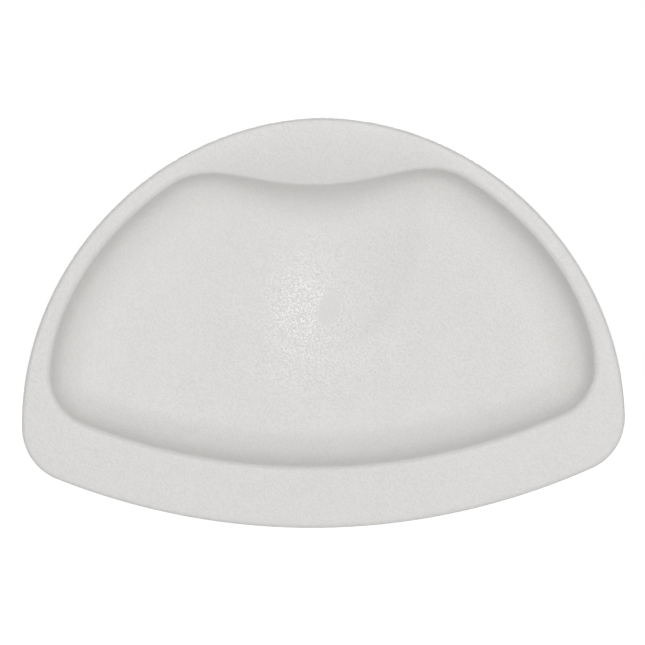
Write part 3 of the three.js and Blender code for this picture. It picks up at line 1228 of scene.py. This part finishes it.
@dataclass
class SnapSocket:
    """Hard socket in the back: a flange, a snap lip, a chamber for the head and an anchor."""

    flange_radius: float = 0.013
    flange_thickness: float = 0.0015
    bore_radius: float = 0.0048
    lead: float = 0.0008
    lip: float = 0.0022
    chamber_radius: float = 0.007
    chamber_end: float = 0.007
    barrel_radius: float = 0.0086
    anchor_radius: float = 0.0116
    anchor_thickness: float = 0.0014
    length: float = 0.0086
    rounding: float = 0.0004
    clearance: float = 0.0003
    hole_flare: float = 0.0006
    segments: int = 64

    def build(self) -> bpy.types.Object:
        """Turns one socket, its flange on the plane of the back face.

        Returns:
            The socket, on the Y axis.
        """
        ease = self.rounding
        return Bench.turn("socket_pattern", Bench.round_corners([
            (0.0, self.chamber_end, 0.0),
            (self.chamber_radius, self.chamber_end, ease),
            (self.chamber_radius, self.lip, ease),
            (self.bore_radius, self.lip, ease / 2),
            (self.bore_radius, self.lead, ease),
            (self.bore_radius + self.lead, 0.0, ease),
            (self.flange_radius, 0.0, ease),
            (self.flange_radius, self.flange_thickness, ease / 2),
            (self.barrel_radius, self.flange_thickness, ease),
            (self.barrel_radius, self.length - self.anchor_thickness, ease),
            (self.anchor_radius, self.length - self.anchor_thickness, ease),
            (self.anchor_radius, self.length, ease),
            (0.0, self.length, 0.0),
        ]), self.segments)

    def hole(self) -> bpy.types.Object:
        """Turns the cutter of the flange's hole, flared at the back face.

        Returns:
            The cutter, on the Y axis.
        """
        radius = self.flange_radius + self.clearance
        flare = radius + self.hole_flare
        return Bench.turn("hole_pattern", Bench.round_corners([
            (0.0, -self.length, 0.0),
            (flare, -self.length, 0.0),
            (flare, 0.0, 0.0),
            (radius, 0.0, self.hole_flare),
            (radius, 2 * self.flange_thickness, 0.0),
            (0.0, 2 * self.flange_thickness, 0.0),
        ]), self.segments)

    def pocket(self) -> bpy.types.Object:
        """Turns the cutter of the socket's pocket in the foam.

        Returns:
            The cutter, on the Y axis.
        """
        barrel = self.barrel_radius + self.clearance
        anchor = self.anchor_radius + self.clearance
        ledge = self.length - self.anchor_thickness - self.clearance
        return Bench.turn("pocket_pattern", [
            (0.0, 0.0),
            (barrel, 0.0),
            (barrel, ledge),
            (anchor, ledge),
            (anchor, self.length + self.clearance),
            (0.0, self.length + self.clearance),
        ], self.segments)

    def dress(self, piece: bpy.types.Object, place: CupPlace, finish: bpy.types.Material) -> None:
        """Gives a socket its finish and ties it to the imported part.

        Args:
            piece: The socket.
            place: Its place.
            finish: Its material.
        """
        piece.data.materials.append(finish)
        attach(piece, "pillow")
        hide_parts(f"socket_{place.value}")


@dataclass
class SuctionCup:
    """Soft suction cup: a hollow bell on the wall, a neck, a snap head and a release tab."""

    radius: float = 0.024
    height: float = 0.0105
    wall: float = 0.0024
    lip: float = 0.0012
    seal: float = 0.0012
    hollow_depth: float = 0.006
    hub_radius: float = 0.0085
    neck_radius: float = 0.0045
    neck_length: float = 0.0028
    head_radius: float = 0.0065
    head_length: float = 0.0042
    head_flank: float = 0.0014
    tab_width: float = 0.011
    tab_length: float = 0.009
    tab_thickness: float = 0.0014
    tab_lift: float = 0.0004
    tab_root: float = 0.0008
    rounding: float = 0.0005
    tab_bevel_steps: int = 3
    arc_steps: int = 14
    segments: int = 96

    def _arc(self, radius: float, rise: float, base: float, reach: tuple[float, float]) -> Corners:
        """Gives points of an elliptic dome between two distances from the axis.

        Args:
            radius: Radius of the dome at its base.
            rise: Height of the dome above its base.
            base: Height of the base.
            reach: First and last distance from the axis.

        Returns:
            The points as corners without rounding.
        """
        ends = [math.asin(distance / radius) for distance in reach]
        angles = np.linspace(*ends, self.arc_steps + 1)
        return [(radius * math.sin(a), base + rise * math.cos(a), 0.0) for a in angles]

    def build(self) -> bpy.types.Object:
        """Turns one cup on the wall plane and joins its release tab to the rim.

        Returns:
            The cup, on the Y axis.
        """
        ease = self.rounding
        rise = self.hollow_depth + self.wall - self.lip
        seal_radius = self.radius - self.seal
        head_base = self.height + self.neck_length
        crown_base = head_base + self.head_flank
        crown_rise = self.head_length - self.head_flank
        bell = self._arc(self.radius, rise, self.lip, (self.radius, self.hub_radius))
        hub_foot = bell.pop()
        corners = [
            *self._arc(seal_radius, self.hollow_depth, 0.0, (0.0, seal_radius)),
            (self.radius, 0.0, ease),
            *bell,
            (*hub_foot[:2], ease),
            (self.hub_radius, self.height, ease),
            (self.neck_radius, self.height, ease),
            (self.neck_radius, head_base, ease),
            (self.head_radius, head_base, ease),
            *self._arc(self.head_radius, crown_rise, crown_base, (self.head_radius, 0.0)),
        ]
        cup = Bench.turn("cup_pattern", Bench.round_corners(corners), self.segments)
        Bench.combine(cup, [self._tab()], "UNION")
        return cup

    def _tab(self) -> bpy.types.Object:
        """Shapes the release tab: a disc drawn out to the rim, cut square there, with eased edges.

        Returns:
            The tab, below the cup on the Y axis.
        """
        middle = -(self.radius + self.tab_length - self.tab_width / 2)
        root = -(self.radius - self.tab_root)
        Bench.clear_selection()
        bpy.ops.mesh.primitive_cylinder_add(
            vertices=self.segments // 2,
            radius=self.tab_width / 2,
            depth=self.tab_thickness,
            location=(0, -self.tab_lift - self.tab_thickness / 2, middle),
            rotation=(QUARTER_TURN, 0, 0),
        )
        tab = bpy.context.object
        bpy.ops.object.transform_apply(location=True, rotation=True, scale=True)
        for vertex in tab.data.vertices:
            vertex.select = vertex.co.z > middle
        bpy.ops.object.mode_set(mode="EDIT")
        bpy.ops.mesh.select_mode(type="VERT")
        bpy.ops.transform.translate(value=(0, 0, root - middle))
        bpy.ops.mesh.select_all(action="SELECT")
        bpy.ops.mesh.bisect(plane_co=(0, 0, root), plane_no=(0, 0, 1), use_fill=True, clear_outer=True)
        bpy.ops.mesh.select_all(action="DESELECT")
        bpy.ops.mesh.edges_select_sharp(sharpness=SMOOTH_ANGLE)
        bpy.ops.mesh.bevel(offset=self.rounding / 2, segments=self.tab_bevel_steps, affect="EDGES")
        bpy.ops.object.mode_set(mode="OBJECT")
        return tab

    def dress(self, piece: bpy.types.Object, place: CupPlace, finish: bpy.types.Material) -> None:
        """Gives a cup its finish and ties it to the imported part.

        Args:
            piece: The cup.
            place: Its place.
            finish: Its material.
        """
        piece.data.materials.append(finish)
        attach(piece, place.body)
        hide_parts(f"suction_cup_{place.value}")


@dataclass(frozen=True)
class PaleFloor:
    """Plain matt floor, lifted to white where it is seen, but less so round the pillow's shadow."""

    colour: Colour = (0.9, 0.9, 0.9, 1.0)
    patch: Colour = (0.92, 0.92, 0.92, 1.0)
    patch_scale: float = 3.0
    roughness: float = 0.9
    glow: float = 0.78
    shadow_glow: float = 0.4
    shadow_start: float = 0.3
    shadow_end: float = 0.5

    def material(self) -> bpy.types.Material:
        """Makes the material.

        Returns:
            The material.
        """
        board, material, shader = NodeBoard.for_material("pale_floor")
        point = board.object_point()
        patches = board.noise(point, self.patch_scale, detail=2.0).outputs[0]
        board.feed(shader.inputs["Base Color"], board.blend(patches, self.colour, self.patch))
        shader.inputs["Roughness"].default_value = self.roughness
        away = board.length(point)
        glow = board.spread(away, self.shadow_start, self.shadow_end, self.shadow_glow, self.glow)
        strength = board.math("MULTIPLY", board.seen_directly(), glow)
        light = board.add("ShaderNodeEmission", {}, {"Strength": strength})
        both = board.add("ShaderNodeAddShader", {}, {0: shader.outputs[0], 1: light.outputs[0]})
        board.feed(board.tree.nodes["Material Output"].inputs["Surface"], both.outputs[0])
        return material


@dataclass(frozen=True)
class Softbox:
    """Round soft lamp that faces the pillow.

    The level is what it adds to a surface that faces it, where 1 shows a colour as written. The
    turn goes to the right from straight in front, and the rise goes up. Only a mirrored lamp
    shows in glossy surfaces.
    """

    name: str
    level: float
    size: float
    distance: float
    turn: float
    rise: float
    mirrored: bool

    def hang(self) -> None:
        """Hangs the lamp, unseen by the camera."""
        lamp = bpy.data.lights.new(self.name, "AREA")
        lamp.shape = "DISK"
        lamp.size = self.size
        lamp.energy = 4 * math.pi * self.level * self.distance**2
        box = bpy.data.objects.new(self.name, lamp)
        flat = math.cos(self.rise)
        toward = Vector((math.sin(self.turn) * flat, -math.cos(self.turn) * flat, math.sin(self.rise)))
        box.location = toward * self.distance
        box.rotation_euler = toward.to_track_quat("Z", "Y").to_euler()
        box.visible_camera = False
        box.visible_glossy = self.mirrored
        bpy.context.scene.collection.objects.link(box)


@dataclass
class Studio:
    """Floor, soft light and the camera of the photograph."""

    floor_drop: float = 0.09
    floor_size: float = 40.0
    ambient: float = 0.33
    softboxes: tuple[Softbox, ...] = (
        Softbox(
            name="front", level=0.445, size=2.6, distance=2.6,
            turn=math.radians(4), rise=math.radians(5), mirrored=False,
        ),
        Softbox(
            name="key", level=0.085, size=1.5, distance=6.0,
            turn=math.radians(4.5), rise=math.radians(8.5), mirrored=True,
        ),
        Softbox(
            name="rear", level=0.4, size=1.4, distance=2.4,
            turn=math.radians(184), rise=math.radians(20), mirrored=True,
        ),
    )
    camera_distance: float = 4.0
    camera_side: float = 0.0006
    camera_rise: float = 0.0002
    camera_roll: float = math.radians(1.17)
    frame_pixels: float = 645.0
    outline_pixels: float = 603.2

    def build(self, pillow: MouldedPillow) -> None:
        """Sets the floor, the light and the camera round the pillow.

        Args:
            pillow: The pillow, for its size and place.
        """
        self._lay_floor(pillow.belly_level - self.floor_drop)
        self._light_world()
        for softbox in self.softboxes:
            softbox.hang()
        self._stand_camera(pillow)
        bpy.context.scene.view_settings.view_transform = "Standard"

    def _lay_floor(self, level: float) -> None:
        """Lays the floor.

        Args:
            level: Height of the floor.
        """
        Bench.clear_selection()
        bpy.ops.mesh.primitive_plane_add(size=self.floor_size, location=(0, 0, level))
        floor = bpy.context.object
        floor.name = "floor"
        floor.data.materials.append(PaleFloor().material())

    def _light_world(self) -> None:
        """Makes the world an even soft light, and white where it is seen directly."""
        world = bpy.data.worlds.new("soft_room")
        world.use_nodes = True
        bpy.context.scene.world = world
        board = NodeBoard(world.node_tree)
        world.node_tree.nodes.clear()
        soft = board.add("ShaderNodeBackground", {}, {"Color": WHITE, "Strength": self.ambient})
        white = board.add("ShaderNodeBackground", {}, {"Color": WHITE, "Strength": 1.0})
        seen = board.seen_directly()
        mixed = board.add("ShaderNodeMixShader", {}, {0: seen, 1: soft.outputs[0], 2: white.outputs[0]})
        board.add("ShaderNodeOutputWorld", {}, {"Surface": mixed.outputs[0]})

    def _stand_camera(self, pillow: MouldedPillow) -> None:
        """Stands the camera straight in front, far away, framed as in the photograph.

        Args:
            pillow: The pillow, for its size and place.
        """
        optics = bpy.data.cameras.new("camera")
        front_edge = self.camera_distance - (pillow.depth - pillow.edge_radius) + pillow.back_plane
        seen_width = (pillow.width - 2 * pillow.side_draft) / front_edge
        share = self.outline_pixels / self.frame_pixels
        optics.lens = optics.sensor_width * share / seen_width
        camera = bpy.data.objects.new("camera", optics)
        camera.location = (self.camera_side, -self.camera_distance, self.camera_rise)
        camera.rotation_euler = (QUARTER_TURN, self.camera_roll, 0)
        bpy.context.scene.collection.objects.link(camera)
        bpy.context.scene.camera = camera


FACE_SKIN = GrainedSkin(
    name="grained_face",
    pad=(0.752, 0.745, 0.731, 1.0),
    # Painted shade in the grain's creases.
    shaded_crease=(0.715, 0.707, 0.693, 1.0),
    cells=820.0,
    depth=0.00012,
    pad_roughness=0.33,
    crease_roughness=0.38,
    mottle=0.3,
    spot=SoftOval(
        across=0.0038, up=0.0075, half_width=0.0056, half_height=0.0105, lean=math.radians(15),
    ),
    polish=SoftOval(
        across=-0.004, up=0.008, half_width=0.036, half_height=0.05, fade_start=0.2, fade_end=1.4,
    ),
    polished_roughness=0.205,
)
BACK_SKIN = GrainedSkin(
    name="grained_back",
    pad=(0.7, 0.693, 0.68, 1.0),
    # Painted shade in the grain's creases.
    shaded_crease=(0.62, 0.612, 0.598, 1.0),
    cells=620.0,
    depth=0.00014,
    pad_roughness=0.4,
    crease_roughness=0.55,
    mottle=0.3,
)
FOAM = OpenFoam(
    name="soft_foam",
    wall=(0.83, 0.79, 0.68, 1.0),
    # Painted shade in the foam's pits.
    shaded_pit=(0.6, 0.55, 0.44, 1.0),
    cells=1100.0,
    depth=0.0003,
    roughness=0.95,
)
SOCKET_PLASTIC = HardPlastic(
    name="socket_plastic",
    colour=(0.8, 0.795, 0.78, 1.0),
    shade=(0.74, 0.735, 0.72, 1.0),
    tooth=2600.0,
    depth=0.00005,
    roughness=0.4,
)
CUP_VINYL = ClearVinyl(
    name="cup_vinyl",
    clear=(0.92, 0.945, 0.95, 1.0),
    cloudy=(0.82, 0.865, 0.875, 1.0),
    transmission=0.75,
    refraction=1.5,
    tooth=900.0,
    depth=0.00008,
    roughness=0.15,
)


def build_cups(effects: Effects, socket: SnapSocket, back_plane: float) -> list[bpy.types.Object]:
    """Models one socket and one cup, and sets a copy of each at every place.

    Args:
        effects: The shared node groups.
        socket: Sizes of the sockets.
        back_plane: Place of the back face along Y.

    Returns:
        The twelve pieces.
    """
    cup = SuctionCup()
    socket_pattern, cup_pattern = socket.build(), cup.build()
    plastic, vinyl = SOCKET_PLASTIC.material(effects), CUP_VINYL.material(effects)
    pieces = []
    for place in CupPlace:
        seat = place.centre + Vector((0, back_plane, 0))
        snap = Bench.copy_to(socket_pattern, f"snap_socket_{place.value}", seat)
        socket.dress(snap, place, plastic)
        bell = Bench.copy_to(cup_pattern, f"wall_cup_{place.value}", place.centre)
        cup.dress(bell, place, vinyl)
        pieces += [snap, bell]
    Bench.drop(socket_pattern)
    Bench.drop(cup_pattern)
    return pieces


def cutters(pattern: bpy.types.Object, back_plane: float) -> list[bpy.types.Object]:
    """Sets a copy of a cutter at every cup and deletes the pattern.

    Args:
        pattern: The cutter, on the Y axis.
        back_plane: Place of the back face along Y.

    Returns:
        The six copies.
    """
    copies = []
    for place in CupPlace:
        seat = place.centre + Vector((0, back_plane, 0))
        copies.append(Bench.copy_to(pattern, f"cutter_{place.value}", seat))
    Bench.drop(pattern)
    return copies


def main() -> None:
    """Builds and dresses every piece, then the studio, and reports each piece."""
    logging.basicConfig(level=logging.INFO, format="%(message)s")
    effects = Effects()
    pillow = MouldedPillow.from_frame()
    socket = SnapSocket()
    Studio().build(pillow)

    face = pillow.build_face()
    pillow.dress(face, "front_skin", Slot.FACE, FIRM_FILL, FACE_SKIN.material(effects))
    foam = pillow.build_foam(cutters(socket.pocket(), pillow.back_plane))
    pillow.dress(foam, "foam_core", Slot.FOAM, FIRM_FILL, FOAM.material(effects))
    back = pillow.build_back(cutters(socket.hole(), pillow.back_plane))
    pillow.dress(back, "back_skin", Slot.BACK, FIRM_FILL, BACK_SKIN.material(effects))
    cups = build_cups(effects, socket, pillow.back_plane)

    for piece in [face, foam, back, *cups]:
        log.info("%s: %d faces", piece.name, len(piece.data.polygons))
    Bench.clear_selection()


if __name__ == "__main__":
    main()
